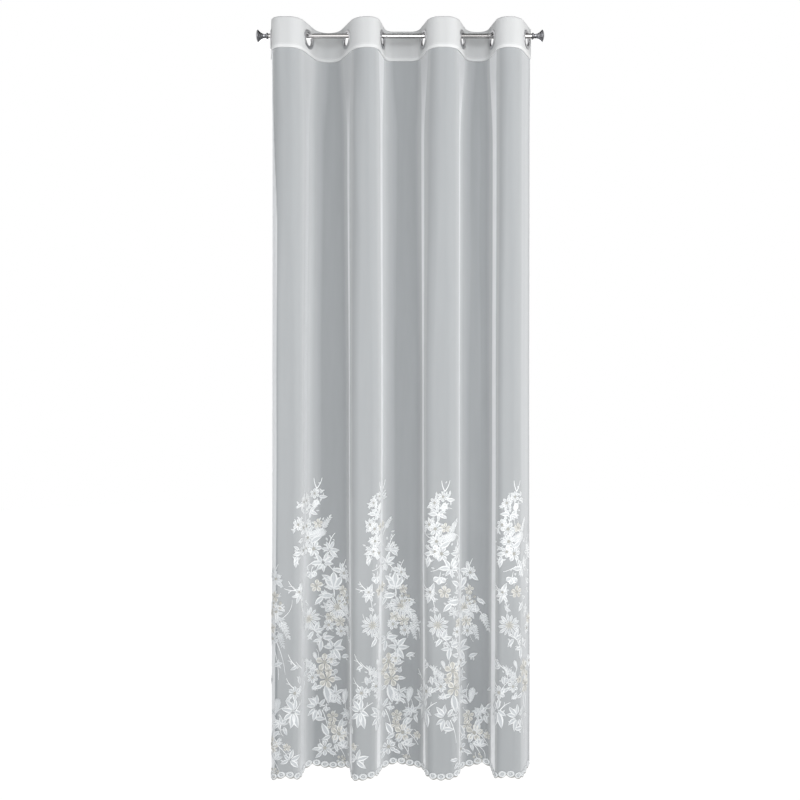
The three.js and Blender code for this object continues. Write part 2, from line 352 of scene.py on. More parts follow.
def thread_waves(tree, pitch, direction):
    """Parallel threads at a pitch in metres, as a wave from 0 to 1 over the flat cloth."""
    place = flat_coordinates(tree, (WAVE_PERIOD / pitch,) * 3)
    inputs = {"Vector": place, "Scale": 1.0, "Distortion": 0.35, "Detail": 1.0}
    settings = {"wave_type": "BANDS", "bands_direction": direction, "wave_profile": "SIN"}
    return add_node(tree, "TexWave", inputs, **settings).outputs["Fac"]


def weave_height(tree, pitch):
    """Two sets of threads that cross."""
    waves = {i: thread_waves(tree, pitch, direction) for i, direction in enumerate("XY")}
    return add_node(tree, "Math", waves, operation="ADD").outputs[0]


def add_bump(tree, shader, height, distance, strength):
    bump = add_node(tree, "Bump", {"Height": height, "Distance": distance, "Strength": strength})
    set_inputs(tree, shader, {"Normal": bump.outputs["Normal"]})


def mixed_colour(tree, share, dark, light):
    mix = add_node(tree, "Mix", {"Factor": share, "A": dark, "B": light}, data_type="RGBA")
    return mix.outputs["Result"]


def toned_colour(tree, dark, light, scale, grain):
    """A colour that follows the piece's tone, with a slow uneven grain over the flat cloth."""
    tone = add_node(tree, "Attribute", attribute_name="tone")
    place = flat_coordinates(tree, (scale, scale * GRAIN_STRETCH, 1))
    noise = add_node(tree, "TexNoise", {"Vector": place, "Scale": 1.0, "Detail": 3.0})
    grained = {0: noise.outputs["Fac"], 1: grain, 2: tone.outputs["Fac"]}
    spread = add_node(tree, "Math", grained, operation="MULTIPLY_ADD")
    centred = {0: spread.outputs[0], 1: grain / 2}
    shift = add_node(tree, "Math", centred, operation="SUBTRACT", use_clamp=True)
    return mixed_colour(tree, shift.outputs[0], dark, light)


def voile_material():
    material, tree, shader = new_material("voile")
    dark, light = linear(121, 126, 129), linear(250, 251, 252)
    set_inputs(tree, shader, {
        "Base Color": toned_colour(tree, dark, light, scale=34.0, grain=0.05),
        "Alpha": 0.86, "Roughness": 0.7, "Specular IOR Level": 0.25,
        "Sheen Weight": 0.6, "Sheen Roughness": 0.35, "Sheen Tint": (0.95, 0.97, 1.0, 1.0),
    })
    add_bump(tree, shader, weave_height(tree, pitch=0.0011), distance=0.00012, strength=0.5)
    return material


def heading_material():
    material, tree, shader = new_material("heading")
    dark, light = linear(190, 191, 191), linear(251, 251, 251)
    set_inputs(tree, shader, {
        "Base Color": toned_colour(tree, dark, light, scale=26.0, grain=0.08),
        "Roughness": 0.75, "Sheen Weight": 0.25, "Sheen Roughness": 0.4,
    })
    add_bump(tree, shader, weave_height(tree, pitch=0.0012), distance=0.00015, strength=0.5)
    return material


def thread_material(name, dark, light):
    """Satin-stitch thread: fine parallel strands across each motif, with a soft shine."""
    material, tree, shader = new_material(name)
    tone = add_node(tree, "Attribute", attribute_name="tone")
    colour = mixed_colour(tree, tone.outputs["Fac"], dark, light)
    set_inputs(tree, shader, {"Base Color": colour, "Roughness": 0.5, "Sheen Weight": 0.3})
    strands = thread_waves(tree, pitch=0.0013, direction="DIAGONAL")
    add_bump(tree, shader, strands, distance=0.0003, strength=0.7)
    return material


def metal_material(name, colour, roughness, streaks):
    """Metal with fine streaks in its roughness, as brushing or wear leaves them."""
    material, tree, shader = new_material(name)
    place = add_node(tree, "TexCoord").outputs["Object"]
    mapping = add_node(tree, "Mapping", {"Vector": place, "Scale": streaks})
    noise = add_node(tree, "TexNoise", {"Vector": mapping.outputs["Vector"], "Scale": 1.0, "Detail": 4.0})
    varied = add_node(tree, "MapRange", {
        "Value": noise.outputs["Fac"], "To Min": roughness * SMOOTHEST, "To Max": roughness * ROUGHEST,
    })
    set_inputs(tree, shader, {"Base Color": colour, "Metallic": 1.0, "Roughness": varied.outputs["Result"]})
    return material


VOILE = voile_material()
HEADING = heading_material()
WHITE_THREAD = thread_material("thread_white", linear(178, 182, 185), linear(251, 252, 252))
CREAM_THREAD = thread_material("thread_cream", linear(172, 171, 165), linear(246, 244, 238))
CORD_THREAD = thread_material("thread_cord", linear(136, 135, 131), linear(186, 184, 178))
NICKEL = metal_material("satin_nickel", linear(190, 190, 192), 0.3, (60, 60, 60))
STEEL = metal_material("brushed_steel", linear(206, 204, 203), 0.24, (6, 900, 900))
CHROME = metal_material("chrome", linear(140, 140, 143), 0.07, (40, 40, 40))


# Voile panel and its side hems

VOILE_LIFT = -2.0
VOILE_ROWS = 184
VOILE_COLUMNS = 401
SIDE_HEM_COLUMNS = 6
SIDE_HEM_TONE = 0.7
SIDE_HEM_INSET = 0.4


# Tones of the voile, from 0 at its darkest to 1 for white. Much of it is painted light and shade: paler
# where the cloth turns to the right, darker in back folds, and a painted highlight where it turns edge-on
# and sheer cloth is also seen through itself
VOILE_TONES = {
    "flat": 0.185, "painted_light_right": 0.09, "left_slope_highlight": 0.2, "right_slope_highlight": 0.14,
    "left_flank_highlight_and_layers": 0.75, "right_flank_highlight_and_layers": (0.08, 0.4), "back": -0.11, "back_painted_light_right": 0.24,
    "left_strip_layers_and_light": 0.6, "side_hem": 0.3, "right_edge": 0.03, "foot": -0.075,
}
# The paler strip near the left edge, partly doubled cloth and partly painted light over the turned edge's
# shade:
# where it starts, and where it ends at the top and at the foot
STRIP_START = 52.0
STRIP_ENDS = (82.0, 104.0)


def voile_tone(along, drop):
    """The voile's tone. Painted light and shade from how it turns and whether it hangs in a back fold, paler
    near its edges and hems, and darker towards the foot.
    """
    along, drop = np.broadcast_arrays(along, drop)
    rows = np.clip(np.rint(drop / GRID_DROP), 0, CHART_NORMALS.shape[0] - 1).astype(int)
    columns = np.clip(np.rint(along / GRID_ALONG), 0, CHART_NORMALS.shape[1] - 1).astype(int)
    x, y = CHART_PLACES[rows, columns, 0], CHART_PLACES[rows, columns, 1]
    across, facing = CHART_NORMALS[rows, columns, 0], np.abs(CHART_NORMALS[rows, columns, 1])
    behind = ramp(y, -20, 30)
    # Painted light and shade: paler where the cloth turns to the right, towards the key light, darker where
    # it turns left
    tone = VOILE_TONES["flat"] + VOILE_TONES["painted_light_right"] * across * (1 - behind)
    # Painted highlight: paler as the cloth turns away from facing the room
    slope = np.where(across < 0, VOILE_TONES["left_slope_highlight"], VOILE_TONES["right_slope_highlight"])
    tone += slope * ramp(facing, 0.85, 0.45)
    # Paler still where it stands edge-on: partly sheer cloth seen through itself, partly a painted highlight
    right_flank_highlight_and_layers = lerp(*VOILE_TONES["right_flank_highlight_and_layers"], ramp(x, -330, -110))
    tone += np.where(across < 0, VOILE_TONES["left_flank_highlight_and_layers"], right_flank_highlight_and_layers) * ramp(facing, 0.4, 0.1)
    # Painted shade in the back folds, with painted light on their sides that turn to the right
    tone += (VOILE_TONES["back"] + VOILE_TONES["back_painted_light_right"] * np.clip(across, 0, 1) ** 0.7) * behind
    # Painted light, together with the doubled cloth, along the strip near the left edge
    end = lerp(*STRIP_ENDS, ramp(drop, 250, 700))
    strip = ramp(along, end, end - 3) * ramp(along, STRIP_START, STRIP_START + 10)
    tone += VOILE_TONES["left_strip_layers_and_light"] * strip
    tone += VOILE_TONES["side_hem"] * ramp(along, SIDE_HEM + 1, SIDE_HEM - 0.5)
    tone += VOILE_TONES["right_edge"] * ramp(along, FLAT_WIDTH - 52, FLAT_WIDTH - 40)
    return tone + VOILE_TONES["foot"] * ramp(drop, 1500, 2350)


def cloth_net(along, drops, lift):
    """Vertices, flat places and faces of a sheet whose drops may differ from column to column."""
    rows, columns = drops.shape
    along = np.broadcast_to(along, drops.shape)
    vertices = on_cloth(along, drops, np.full(drops.shape, lift)).reshape(-1, 3)
    uv = np.stack([along.ravel() * MM, -drops.ravel() * MM], 1)
    return vertices, uv, net_faces(rows, columns)


def voile_panel():
    along = np.linspace(0, FLAT_WIDTH, VOILE_COLUMNS)[None, :]
    share = np.linspace(0, 1, VOILE_ROWS)[:, None]
    drops = SEAM_DROP + (hem_drop(along) - SEAM_DROP) * share
    vertices, uv, faces = cloth_net(along, drops, VOILE_LIFT)
    piece = make_piece("voile", vertices, faces, VOILE, uv, voile_tone(along, drops).ravel())
    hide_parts("voile_panel")


def side_hem(name, start):
    """A side edge turned under once more: a narrow strip just behind the voile."""
    along = np.linspace(start, start + SIDE_HEM, SIDE_HEM_COLUMNS)[None, :]
    share = np.linspace(0, 1, VOILE_ROWS)[:, None]
    drops = HEADING_HEIGHT + (hem_drop(along) - 2 - HEADING_HEIGHT) * share
    vertices, uv, faces = cloth_net(along, drops, VOILE_LIFT - 0.5)
    piece = make_piece(name, vertices, faces, VOILE, uv, np.full(len(vertices), SIDE_HEM_TONE))


# Heading

STITCH_ROWS = (SEAM_DROP - 1.5, HEADING_HEIGHT - 3.0)
STITCH_DEPTH = 0.45
SEAM_FULLNESS = 0.35


def away_from_eyelets(along, drop, distance):
    """Whether a place on the flat heading is farther than a distance from every eyelet's middle."""
    return all(math.hypot(along - eyelet, drop - EYELET_DROP) > distance for eyelet in EYELETS_ALONG)


def heading_outline():
    """Flat points and triangles of the heading, with a round hole for each eyelet."""
    step, clear, sides = 4.0, 1.6, 40
    points, edges = [], []
    for d in np.arange(0, HEADING_HEIGHT + 0.1, step):
        for a in np.arange(0, FLAT_WIDTH + 0.1, step):
            if away_from_eyelets(a, d, EYELET_HOLE + clear):
                points.append(Vector((a, d)))
    for eyelet in EYELETS_ALONG:
        first = len(points)
        for k in range(sides):
            turn = math.tau * k / sides
            out, down = EYELET_HOLE * math.cos(turn), EYELET_HOLE * math.sin(turn)
            points.append(Vector((eyelet + out, EYELET_DROP + down)))
            edges.append((first + k, first + (k + 1) % sides))
    flat, _, triangles, *_ = delaunay_2d_cdt(points, edges, [], 0, 1e-4)
    flat = np.array([(p.x, p.y) for p in flat])
    kept = [tuple(t) for t in triangles if away_from_eyelets(*flat[list(t)].mean(0), EYELET_HOLE - 0.5)]
    return flat, kept


def heading_lift(drop):
    """Half the heading's thickness, fuller along the sewn foot and sunk along each row of stitches."""
    lift = HEADING_THICKNESS / 2 + SEAM_FULLNESS * ramp(drop, SEAM_DROP, SEAM_DROP + 2.5)
    for row in STITCH_ROWS:
        lift -= STITCH_DEPTH * np.exp(-(((drop - row) / 1.3) ** 2))
    return lift


def heading_tone(along, drop):
    """The heading's tone: painted shade in its back folds, painted light where it turns aside, and paler
    along the seam.
    """
    columns = np.rint(along / GRID_ALONG).astype(int)
    across = CHART_NORMALS[EYELET_ROW, columns, 0]
    behind = ramp(CHART_PLACES[EYELET_ROW, columns, 1], -5, 30)
    # Painted light where the heading turns aside, and painted shade in its back folds
    tone = 0.24 + np.where(across > 0, 0.2, -0.12) * across - 0.22 * behind
    return tone + 0.26 * ramp(drop, SEAM_DROP, SEAM_DROP + 2)


def cross_z(flat, triangle):
    a, b, c = flat[list(triangle)]
    return (b[0] - a[0]) * (c[1] - a[1]) - (b[1] - a[1]) * (c[0] - a[0])


def heading_cloth():
    flat, triangles = heading_outline()
    along, drop = flat[:, 0], flat[:, 1]
    front = on_cloth(along, drop, heading_lift(drop))
    back = on_cloth(along, drop, np.full(len(flat), -HEADING_THICKNESS / 2))
    count = len(flat)
    up = [t if cross_z(flat, t) < 0 else t[::-1] for t in triangles]
    faces = up + [tuple(i + count for i in t[::-1]) for t in up]
    edges = dict.fromkeys((t[k], t[(k + 1) % 3]) for t in up for k in range(3))
    faces += [(a, a + count, b + count, b) for a, b in edges if (b, a) not in edges]
    uv = np.concatenate([flat, flat]) * (MM, -MM)
    tone = np.tile(heading_tone(along, drop), 2)
    piece = make_piece("heading_cloth", np.concatenate([front, back]), faces, HEADING, uv, tone)
    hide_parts("heading_band")


def stitches():
    """Two rows of straight stitches along the heading's foot."""
    parts = Motifs()
    pitch, length, width = 3.8, 2.7, 0.55
    for row in STITCH_ROWS:
        for a in np.arange(3, FLAT_WIDTH - 2, pitch):
            parts.strand((a, row), 90, length, width, lift=HEADING_THICKNESS / 2 - 0.1, tone=0.6)
    parts.piece("heading_stitches", WHITE_THREAD, "thread")


# Embroidery: motifs drawn on the flat cloth, then laid on the folds

THREAD_LIFT = VOILE_LIFT + 0.35
TIP_WIDTH = 0.15
# Thread is greyer towards the curtain's foot, over these drops
GREYER_DROPS = (1550, 2350)

# How embroidered shapes are built, from edge to edge or from the rim inwards: places, heights and shades
EDGED = (np.array([-1.0, -0.9, -0.55, -0.45, 0.0, 0.45, 0.55, 0.9, 1.0]),
         np.array([0.0, 1.0, 0.9, 0.35, 0.5, 0.35, 0.9, 1.0, 0.0]),
         np.array([1.0, 1.0, 1.0, 0.3, 0.5, 0.3, 1.0, 1.0, 1.0]))
PLAIN = (np.array([-1.0, 0.0, 1.0]), np.array([0.0, 1.0, 0.0]), np.ones(3))
ROUND = (np.array([1.0, 0.85, 0.6, 0.3, 0.04]), np.array([0.0, 1.0, 0.65, 0.75, 0.9]),
         np.array([1.0, 1.0, 0.3, 0.5, 0.9]))
RING = (np.array([1.0, 0.9, 0.72, 0.56, 0.46]), np.array([0.0, 0.8, 1.0, 0.75, 0.0]), np.ones(5))


class Motifs:
    """Small raised patches of thread. Places are along and drop; turns are clockwise from straight up."""

    def __init__(self):
        self.vertices, self.lifts, self.uv, self.tones, self.faces = [], [], [], [], []
        self.count = 0

    def patch(self, flat, lift, uv, tone, closed=False, reverse=False):
        faces = net_faces(*lift.shape, closed) + self.count
        self.faces.append(faces[:, ::-1] if reverse else faces)
        self.vertices.append(flat.reshape(-1, 2))
        self.lifts.append(lift.ravel())
        self.uv.append(uv.reshape(-1, 2))
        self.tones.append(tone.ravel())
        self.count += lift.size

    def both_faces(self, flat, rise, uv, tone, every, closed=False):
        """A patch on the voile's room side, and the same thread in fewer places on its other side."""
        self.patch(flat, rise, uv, tone, closed)
        self.patch(flat[every], 2 * VOILE_LIFT - rise[every], uv[every], tone[every], closed, reverse=True)

    def blade(self, base, turn, length, half_width, height, bend=0.0, lift=None, tone=0.7, edged=True,
              rows=7):
        """A flat shape grown from its base along a curved middle, as wide as half_width says at each share.
        An edged one has a corded outline and vein over a lower, greyer filling. A lift picks one side."""
        share = np.linspace(0, 1, rows)
        heading = np.radians(turn + bend * (share - 0.35))
        step = length / (rows - 1)
        middle = np.zeros((rows, 2))
        middle[1:, 0] = np.cumsum(np.sin(heading[:-1]) * step)
        middle[1:, 1] = np.cumsum(-np.cos(heading[:-1]) * step)
        side = np.stack([np.cos(heading), np.sin(heading)], 1)
        across, crown, shade = EDGED if edged else PLAIN
        widths = half_width(share)[:, None]
        flat = np.array(base) + middle[:, None, :] + side[:, None, :] * (widths * across)[..., None]
        rise = (THREAD_LIFT if lift is None else lift) + height * crown * (widths / widths.max()) ** 0.5
        down = np.broadcast_to(share[:, None] * length * MM, rise.shape)
        uv = np.stack([widths * across * MM, down], -1)
        tones = np.broadcast_to((0.55 + 0.45 * tone) * shade, rise.shape)
        if lift is None:
            self.both_faces(flat, rise, uv, tones, np.s_[:, ::len(across) // 2])
        else:
            self.patch(flat, rise, uv, tones)

    def leaf(self, base, turn, length, width, bend, tone):
        def half_width(share):
            return length * width / 2 * np.sin(np.pi * share ** 0.8) + TIP_WIDTH
        self.blade(base, turn, length, half_width, 1.1, bend, tone=tone)

    def petal(self, base, turn, length, width, tone):
        def half_width(share):
            return length * width / 2 * np.sin(np.pi * share ** 1.35) ** 0.8 + TIP_WIDTH
        self.blade(base, turn, length, half_width, 1.2, tone=tone)

    def strand(self, base, turn, length, width, bend=0.0, lift=None, tone=0.7):
        def half_width(share):
            return width / 2 * (1.15 - 0.6 * share)
        rows = 5 if length < 10 else 9
        height = min(0.8, width * 0.4)
        self.blade(base, turn, length, half_width, height, bend, lift, tone, edged=False, rows=rows)

    def disc(self, centre, radius, height, hollow=False, tone=0.7, stretch=1.0, sides=14):
        """A small round with a corded rim and a lower, greyer middle, or when hollow a ring."""
        reach, crown, shade = RING if hollow else ROUND
        turn = np.linspace(0, math.tau, sides, endpoint=False)
        ring = np.stack([np.cos(turn) * stretch, np.sin(turn)], -1)
        flat = np.array(centre) + radius * reach[:, None, None] * ring[None]
        rise = THREAD_LIFT + height * np.broadcast_to(crown[:, None], (len(reach), sides))
        out = np.broadcast_to(reach[:, None] * radius * MM, rise.shape)
        uv = np.stack([out, np.broadcast_to(turn * radius * MM, rise.shape)], -1)
        tones = np.broadcast_to(tone * shade[:, None], rise.shape)
        self.both_faces(flat, rise, uv, tones, np.s_[::2], closed=True)

    def clip_to_cloth(self):
        """Thread that would pass the cloth's side edges stops at them."""
        for flat in self.vertices:
            flat[:, 0] = np.clip(flat[:, 0], 1.0, FLAT_WIDTH - 1.0)

    def piece(self, name, material, slot, shade=1.0):
        """One mesh of all the patches."""
        flat = np.concatenate(self.vertices)
        vertices = on_cloth(flat[:, 0], flat[:, 1], np.concatenate(self.lifts))
        low = ramp(flat[:, 1], *GREYER_DROPS)
        tone = np.clip(np.concatenate(self.tones), 0, 1) ** (1 + 1.2 * low) * shade * (1 - 0.18 * low)
        make_piece(name, vertices, np.concatenate(self.faces), material, np.concatenate(self.uv), tone)


def point_from(start, turn, distance):
    """A place on the flat cloth at a turn and a distance from another."""
    turn = math.radians(turn)
    return start[0] + math.sin(turn) * distance, start[1] - math.cos(turn) * distance


def spokes(middle, turn, count, step, distance):
    """Places at a distance around a middle, each with its turn."""
    for k in range(count):
        yield point_from(middle, turn + step * k, distance), turn + step * k


# Each motif takes its threads, a place, a size, a turn and a seeded random source.

def draw_leaf(white, cream, at, size, turn, dice):
    white.leaf(at, turn, size, 0.42, dice.uniform(-25, 25), dice.uniform(0.6, 1))


def draw_round(white, cream, at, size, turn, dice):
    white.disc(at, size, 1.3, tone=0.8, stretch=0.92)


def draw_spray(white, cream, at, size, turn, dice):
    for k, side in enumerate((-64, -22, 20, 62)):
        white.leaf(at, turn + side + dice.uniform(-6, 6), size * (0.8, 1.0, 0.95, 0.75)[k], 0.38, side * 0.4,
                   dice.uniform(0.55, 1))


def draw_star(white, cream, at, size, turn, dice):
    for spot, out in spokes(at, turn, 6, 60, size * 0.06):
        out += dice.uniform(-8, 8)
        length = size * dice.uniform(0.8, 1.1)
        white.leaf(spot, out, length, 0.36, dice.uniform(-20, 20), dice.uniform(0.6, 1))


def draw_bloom(white, cream, at, size, turn, dice):
    for spot, out in spokes(at, turn, 6, 60, size * 0.12):
        white.petal(spot, out + dice.uniform(-5, 5), size * 0.88, 0.62, dice.uniform(0.7, 1))
    cream.disc(at, size * 0.22, 1.8, tone=0.1)


def draw_daisy(white, cream, at, size, turn, dice):
    for spot, out in spokes(at, turn, 13, 27.7, size * 0.2):
        out += dice.uniform(-4, 4)
        white.petal(spot, out, size * dice.uniform(0.66, 0.86), 0.3, dice.uniform(0.6, 1))
    for k in range(8):
        out = turn + 45 * k + 12
        cream.petal(point_from(at, out, size * 0.08), out, size * 0.3, 0.4, dice.uniform(0.4, 0.9))
    cream.disc(at, size * 0.15, 2.0, tone=0.5)


def draw_tulip(white, cream, at, size, turn, dice):
    for side, reach in ((-34, 0.85), (0, 1.0), (34, 0.85)):
        white.petal(at, turn + side, size * reach, 0.46, dice.uniform(0.75, 1))
    for side in (-78, 78):
        white.leaf(at, turn + side, size * 0.5, 0.5, side * 0.5, 0.8)
    white.strand(at, turn + 180, size * 0.6, 2.4, 20, tone=0.8)


def draw_bud(white, cream, at, size, turn, dice):
    white.petal(at, turn - 9, size, 0.62, 0.9)
    white.petal(at, turn + 14, size * 0.85, 0.5, 0.7)
    white.leaf(at, turn - 48, size * 0.55, 0.45, -20, 0.8)
    white.leaf(at, turn + 52, size * 0.55, 0.45, 20, 0.8)


def draw_ring(white, cream, at, size, turn, dice):
    white.disc(at, size, 1.5, hollow=True, tone=0.9)
    white.disc(at, size * 0.34, 1.3, tone=0.8)


def draw_clover(white, cream, at, size, turn, dice):
    for side in (-62, 0, 58):
        white.petal(at, turn + 180 + side, size * dice.uniform(1.1, 1.3), 0.8, dice.uniform(0.8, 1))
    white.strand(at, turn, size, 2.2, 14, tone=0.8)


def draw_berries(white, cream, at, size, turn, dice):
    for k in range(6):
        spot = point_from(at, turn + 60 * k + dice.uniform(-12, 12), size * dice.uniform(0.45, 0.95))
        cream.strand(at, turn + 60 * k, size * 0.6, 1.3, 10, tone=0.5)
        cream.disc(spot, size * dice.uniform(0.2, 0.28), 1.7, tone=dice.uniform(0.3, 0.9))


def draw_cluster(white, cream, at, size, turn, dice):
    """A small cream blossom of round petals, with some of its stamens in view."""
    for spot, out in spokes(at, turn, 5, 72, size * 0.14):
        cream.petal(spot, out + dice.uniform(-8, 8), size * 0.86, 0.74, dice.uniform(0.45, 1))
    for k in range(4):
        white.strand(at, turn + 90 * k + 30, size * 0.5, 1.3, 30, tone=0.9)
    cream.disc(at, size * 0.22, 2.2, tone=0.2)


def draw_fern(white, cream, at, size, turn, dice):
    white.strand(at, turn, size, 1.9, 16, tone=0.8)
    for k in range(1, 7):
        share = k / 6.6
        spot = point_from(at, turn + 16 * (share - 0.5) * 0.5, size * share)
        length = size * 0.3 * (1.15 - 0.6 * share)
        for side in (-46, 46):
            white.leaf(spot, turn + side, length, 0.42, side * 0.3, dice.uniform(0.6, 1))
    white.leaf(point_from(at, turn, size * 0.94), turn + 6, size * 0.24, 0.4, 0, 0.9)


def draw_feather(white, cream, at, size, turn, dice):
    """A broad leaf of many slanted strands."""
    white.strand(at, turn, size, 2.4, 10, tone=0.9)
    for k in range(11):
        share = (k + 0.5) / 11
        spot = point_from(at, turn, size * share * 0.95)
        length = size * 0.36 * math.sin(math.pi * (0.15 + 0.8 * share))
        for side in (-38, 38):
            white.leaf(spot, turn + side, length, 0.3, side * 0.2, dice.uniform(0.6, 1))


def draw_twig(white, cream, at, size, turn, dice):
    white.strand(at, turn, size, 3.0, 34, tone=0.85)
    white.strand(point_from(at, turn - 8, size * 0.45), turn - 38, size * 0.3, 2.0, -20, tone=0.85)


def draw_fork(white, cream, at, size, turn, dice):
    white.strand(at, turn - 22, size, 3.0, 26, tone=0.9)
    white.strand(at, turn + 24, size * 1.08, 3.0, -30, tone=0.9)


def draw_stem(white, cream, at, size, turn, dice):
    white.strand(at, turn, size, 2.6, 22, tone=0.8)


DRAW = {
    "leaf": draw_leaf, "round": draw_round, "spray": draw_spray, "star": draw_star, "bloom": draw_bloom,
    "daisy": draw_daisy, "tulip": draw_tulip, "bud": draw_bud, "ring": draw_ring, "clover": draw_clover,
    "berries": draw_berries, "cluster": draw_cluster, "fern": draw_fern, "feather": draw_feather,
    "twig": draw_twig, "fork": draw_fork, "stem": draw_stem,
}

# One spray of the border, which climbs from the foot to a forked tip. The chart's steps are CHART_STEP wide
# and tall. Each line has a motif and, between commas, the places where it stands: how far right of the tip,
# how far below CHART_TOP, its size and its turn.
CHART_STEP = 3.4
CHART_TOP = 1492.0
SPRAY_TABLE = """
# tip
fork -3 18 11 4
bloom -5 23 5.4 0
leaf -1 26 9 92, 0 23 5 40
bloom -13 29 5.6 20
leaf -15 30 7 232, -12 25 5 20
bud -6 36 8 38
ring -3 32 2.6 0
stem -10 26 12 176
# upper flowers
leaf -9 40 8 58, -9 40 9 118, -9 40 7 180, -10 40 10 272, -11 39 7 316, -10 38 6 0
stem -9 40 14 196
bloom -18 50 6 0
leaf -17 47 6 40, -21 53 6 196
bloom -12 54 7.4 30
cluster -2 53 5 0
fern 2 59 15 30
feather -11 65 21 78
leaf -12 64 9 250, -10 62 9 32
bloom -11 66 7 10
leaf -8 72 13 60
bloom -13 76 6 0, -6 78 8 25
ring -12 72 2.6 0, -9 79 2.4 0
leaf -15 77 10 258, -17 74 7 300, -19 80 12 186, -18 82 8 214
stem -8 82 12 300, -4 84 9 160
# two leafy stars on the right
twig 9 74 13 24
leaf 10 79 9 278, 10 78 8 332, 10 78 9 30, 10 79 10 94, 10 80 11 130
stem 10 80 12 214
leaf 2 92 10 330, 4 91 11 22, 4 91 12 64, 4 93 10 92, 3 93 9 172, 3 93 9 222, 2 92 12 268
stem -4 90 14 246, 8 94 12 140
clover -8 101 6 10
leaf -5 100 8 210
# bud, bell flower and cream flower
stem 22 101 14 18
leaf 23 101 12 284, 23 100 9 338
bloom 24 102 6 0
leaf 25 103 10 136, 12 110 12 300
tulip 14 118 17 0
leaf 11 116 7 272
stem 14 118 8 172
cluster -3 115 6.5 0, 23 119 5 0
berries 24 128 6 0
# daisies
leaf 13 125 15 272, 4 126 12 228, 6 124 7 306
daisy 18 136 13 0
star 24 140 9 30, 7 135 6 10
cluster 11 146 5.5 20
bloom 9 154 6 15
cluster 20 150 6 0
bloom 21 160 6 0
fern 26 152 16 158
daisy -10 147 12 14
leaf -5 160 11 24, -5 160 10 78, -6 160 10 218, -6 158 6 296
stem -6 158 14 140
leaf 2 167 7 304, 3 167 12 84, 3 166 7 36, 2 169 9 262, 2 169 12 188
stem 3 167 12 118
leaf 13 177 10 280, 13 176 9 336, 14 176 12 46, 14 177 12 88, 14 178 13 150, 13 178 9 184, 22 186 10 70
# cream flowers in the middle
stem 12 182 16 250
feather -3 189 9 340
fern -3 199 17 312, -12 196 8 350
cluster 5 191 9 0
leaf 10 192 11 20, 12 194 9 70
bloom 12 188 6 0
round -13 200 2.4 0, -7 199 2.6 0
cluster 0 200 4 0, 9 200 4.4 0
round 16 200 2.4 0
bloom -7 206 6 0
leaf -16 206 9 190, -17 196 9 170
cluster 7 208 9 15
leaf 13 207 9 96
clover -5 215 3 0
leaf -3 212 8 214, 5 214 19 168, 3 214 9 250
star 15 222 9 0
spray 13 231 10 10
feather 24 232 16 10
leaf 16 228 8 130
# leaf star and the stem to the foot
leaf -3 233 10 2, -3 234 12 316, -4 235 10 284, -4 237 10 232, -3 238 12 196, -1 238 9 160
clover 7 236 3.4 0
leaf 0 234 9 40
stem 0 235 10 78
leaf -5 247 11 92
stem 2 238 24 162
leaf 9 264 15 330, 11 264 10 246, 21 254 10 52, 20 258 12 14
cluster 13 245 6 0, 12 254 5 30, 19 262 9 10
leaf 14 272 12 20, 18 274 12 60, 15 272 9 160
bloom 5 276 8 0
leaf 1 277 9 268, 2 280 9 228, 9 279 9 118
spray 24 276 11 10
stem 17 272 18 146
berries 23 288 5 0
# what reaches left of the tip, from the top
twig -20 113 12 316, -19 113 13 274
leaf -17 116 11 22, -17 117 8 248, -17 118 9 200, -16 118 8 150
bloom -17 115 5.4 0
stem -16 118 20 168
leaf -15 130 7 120, -39 128 10 120, -39 134 9 180
fern -36 141 19 151
twig -20 186 14 322
stem -14 190 12 312
leaf -19 186 8 242
twig -22 207 12 320
bloom -21 212 7 0
leaf -17 212 8 52, -24 214 8 230, -22 228 13 318, -23 229 12 282, -22 228 11 8, -22 229 10 122
leaf -23 231 15 188, -22 231 16 164, -24 231 11 230
twig -20 229 13 50
stem -22 214 16 178
spray -34 242 9 20, -36 240 9 240
leaf -32 244 9 160
spray -39 262 9 0
leaf -38 262 9 250
stem -38 262 16 138
cluster -29 264 4 0
leaf -26 275 10 20, -25 276 12 74, -26 277 12 128, -27 276 9 244, -26 276 8 310
"""
# Two long stems near the left edge: where they are seen, their drop, length and turn
EDGE_STEMS = ((-408, 2036, 122, 162), (-415, 2056, 116, 168))

# Where each spray's tip is seen, how narrow its upper part is where a fold takes it in, how far right a fold
# carries its foot, and its shade, which darkens the leftmost spray as painted shade
SPRAYS = (
    {"tip": -489, "upper": 1.0, "foot": 0, "shade": 0.6},
    {"tip": -272, "upper": 1.0, "foot": 0, "shade": 1.0},
    {"tip": -55, "upper": 0.7, "foot": 0, "shade": 1.0},
    {"tip": 157, "upper": 1.0, "foot": 9, "shade": 1.0},
    {"tip": 394, "upper": 1.0, "foot": 16, "shade": 1.0},
)
# The chart's steps over which a narrow upper part widens, and from which a carried foot moves or is hidden
WIDENING = (90, 150)
FOOT_MOVES = 242
FOOT_HIDDEN = 270
# Motifs whose middle is seen past this place would hang off the cloth
OUTERMOST = 436
# A motif also shows on the next fold where that is nearer than this, or than a share of its size
OVERLAP = 8
OVERLAP_SHARE = 0.45
FEWER_LEAVES_DROP = 2130
SEED = 40

FACING_SHARE = 0.3
NARROWEST_WINDOW = 8
CAMERA_DISTANCE = 2.7


def spray_rows():
    """The spray's table as rows of a motif, its two places, its size and its turn."""
    rows = []
    for line in SPRAY_TABLE.splitlines():
        if line and not line.startswith("#"):
            motif, places = line.split(" ", 1)
            rows += [(motif, *map(float, place.split())) for place in places.split(",")]
    return rows


